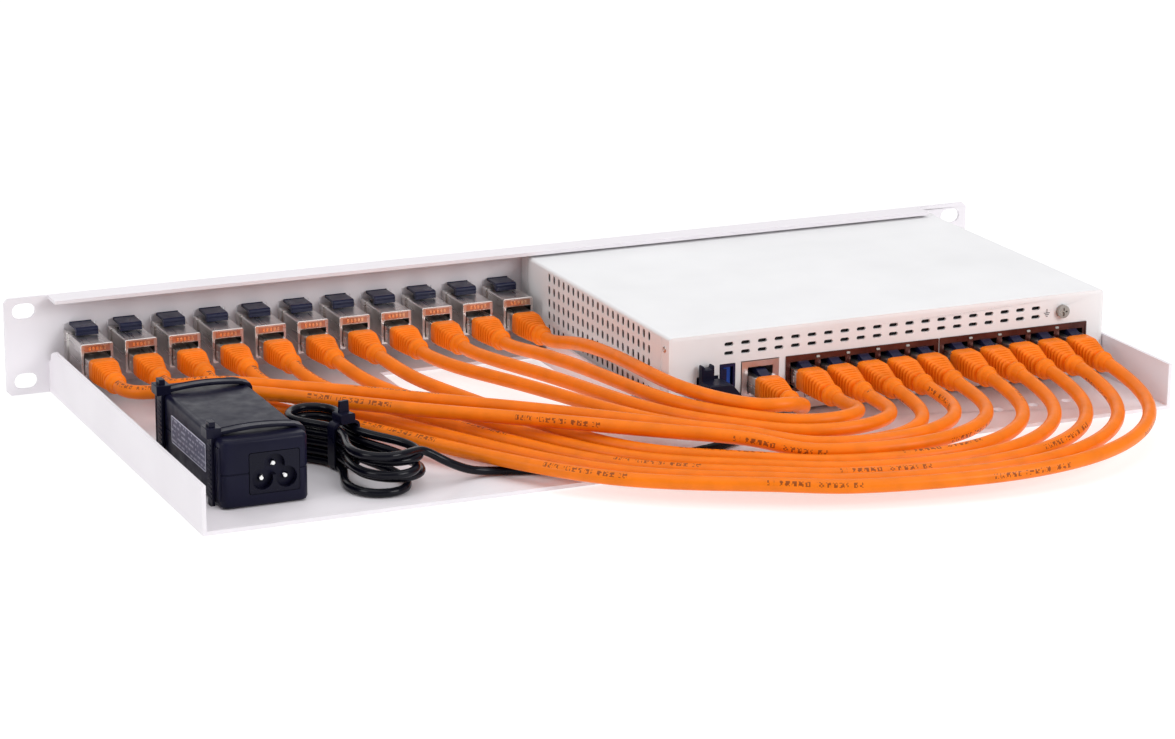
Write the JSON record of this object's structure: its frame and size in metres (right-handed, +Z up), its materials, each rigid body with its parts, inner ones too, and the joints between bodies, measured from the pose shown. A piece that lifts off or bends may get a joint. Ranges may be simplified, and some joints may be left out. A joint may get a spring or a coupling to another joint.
{
  "type": "rack-mounted firewall appliance",
  "caption": "Desktop firewall on a one-unit rack tray, wired through front couplers with orange patch leads, with its power adapter strapped beside it.",
  "frame": {"origin": "middle of the footprint of the tray, panel and couplers, at the tray's underside", "axes": "+X across the rack towards the couplers' end, -Y out of the front panel, +Z up"},
  "size_m": [0.4826, 0.2979, 0.044],
  "materials": {
    "tray_paint": "fine-textured light grey powder coat",
    "casing_paint": "satin off-white paint",
    "nickel": "bright nickel plate",
    "latch_plastic": "dark navy moulding",
    "lead_jacket": "smooth orange jacket",
    "black_plastic": "fine-grained blue-black moulding",
    "black_jacket": "satin black jacket",
    "circuit_board": "green laminate",
    "aluminium": "extruded, anodised",
    "rubber": "matt",
    "usb_blue": "blue moulding in a plated shell"
  },
  "bodies": {
    "unit": {"rack_tray": "tray_paint", "coupler_01": "nickel", "patch_lead_01": "lead_jacket", "coupler_02": "nickel", "patch_lead_02": "lead_jacket", "coupler_03": "nickel", "patch_lead_03": "lead_jacket", "coupler_04": "nickel", "patch_lead_04": "lead_jacket", "coupler_05": "nickel", "patch_lead_05": "lead_jacket", "coupler_06": "nickel", "patch_lead_06": "lead_jacket", "coupler_07": "nickel", "patch_lead_07": "lead_jacket", "coupler_08": "nickel", "patch_lead_08": "lead_jacket", "coupler_09": "nickel", "patch_lead_09": "lead_jacket", "coupler_10": "nickel", "patch_lead_10": "lead_jacket", "coupler_11": "nickel", "patch_lead_11": "lead_jacket", "firewall_base": "casing_paint", "firewall_cover": "casing_paint", "firewall_bezel": "casing_paint", "main_board": "circuit_board", "heat_sink": "aluminium", "console_jack": "nickel", "port_block_a": "nickel", "port_block_b": "nickel", "usb_port": "usb_blue", "dc_inlet": "black_plastic", "ground_screw": "nickel", "foot_front_left": "rubber", "foot_rear_left": "rubber", "foot_front_right": "rubber", "foot_rear_right": "rubber", "adapter_case": "black_plastic", "mains_inlet": "black_plastic", "adapter_board": "circuit_board", "adapter_tie_front": "black_plastic", "adapter_tie_rear": "black_plastic", "dc_lead_start": "black_jacket", "dc_lead_hank": "black_jacket", "dc_lead_end": "black_jacket", "hank_tie": "black_plastic", "dc_plug": "black_plastic"},
    "latch_01": {"coupler_latch_01": "latch_plastic"},
    "latch_02": {"coupler_latch_02": "latch_plastic"},
    "latch_03": {"coupler_latch_03": "latch_plastic"},
    "latch_04": {"coupler_latch_04": "latch_plastic"},
    "latch_05": {"coupler_latch_05": "latch_plastic"},
    "latch_06": {"coupler_latch_06": "latch_plastic"},
    "latch_07": {"coupler_latch_07": "latch_plastic"},
    "latch_08": {"coupler_latch_08": "latch_plastic"},
    "latch_09": {"coupler_latch_09": "latch_plastic"},
    "latch_10": {"coupler_latch_10": "latch_plastic"},
    "latch_11": {"coupler_latch_11": "latch_plastic"},
    "reset": {"reset_button": "black_plastic"}
  },
  "joints": [
    {"name": "latch_press_01", "type": "hinge", "parent": "unit", "child": "latch_01", "pos_m": [0.2075, -0.0953, 0.0279], "axis": [1, 0, 0], "range_deg": [0, 7], "stiffness_Nm_per_rad": 0.05},
    {"name": "latch_press_02", "type": "hinge", "parent": "unit", "child": "latch_02", "pos_m": [0.1876, -0.0953, 0.0279], "axis": [1, 0, 0], "range_deg": [0, 7], "stiffness_Nm_per_rad": 0.05},
    {"name": "latch_press_03", "type": "hinge", "parent": "unit", "child": "latch_03", "pos_m": [0.1677, -0.0953, 0.0279], "axis": [1, 0, 0], "range_deg": [0, 7], "stiffness_Nm_per_rad": 0.05},
    {"name": "latch_press_04", "type": "hinge", "parent": "unit", "child": "latch_04", "pos_m": [0.1478, -0.0953, 0.0279], "axis": [1, 0, 0], "range_deg": [0, 7], "stiffness_Nm_per_rad": 0.05},
    {"name": "latch_press_05", "type": "hinge", "parent": "unit", "child": "latch_05", "pos_m": [0.1279, -0.0953, 0.0279], "axis": [1, 0, 0], "range_deg": [0, 7], "stiffness_Nm_per_rad": 0.05},
    {"name": "latch_press_06", "type": "hinge", "parent": "unit", "child": "latch_06", "pos_m": [0.108, -0.0953, 0.0279], "axis": [1, 0, 0], "range_deg": [0, 7], "stiffness_Nm_per_rad": 0.05},
    {"name": "latch_press_07", "type": "hinge", "parent": "unit", "child": "latch_07", "pos_m": [0.0881, -0.0953, 0.0279], "axis": [1, 0, 0], "range_deg": [0, 7], "stiffness_Nm_per_rad": 0.05},
    {"name": "latch_press_08", "type": "hinge", "parent": "unit", "child": "latch_08", "pos_m": [0.0682, -0.0953, 0.0279], "axis": [1, 0, 0], "range_deg": [0, 7], "stiffness_Nm_per_rad": 0.05},
    {"name": "latch_press_09", "type": "hinge", "parent": "unit", "child": "latch_09", "pos_m": [0.0483, -0.0953, 0.0279], "axis": [1, 0, 0], "range_deg": [0, 7], "stiffness_Nm_per_rad": 0.05},
    {"name": "latch_press_10", "type": "hinge", "parent": "unit", "child": "latch_10", "pos_m": [0.0284, -0.0953, 0.0279], "axis": [1, 0, 0], "range_deg": [0, 7], "stiffness_Nm_per_rad": 0.05},
    {"name": "latch_press_11", "type": "hinge", "parent": "unit", "child": "latch_11", "pos_m": [0.0085, -0.0953, 0.0279], "axis": [1, 0, 0], "range_deg": [0, 7], "stiffness_Nm_per_rad": 0.05},
    {"name": "reset_press", "type": "slide", "parent": "unit", "child": "reset", "axis": [0, -1, 0], "range_m": [0, 0.001], "stiffness_N_per_m": 300}
  ]
}
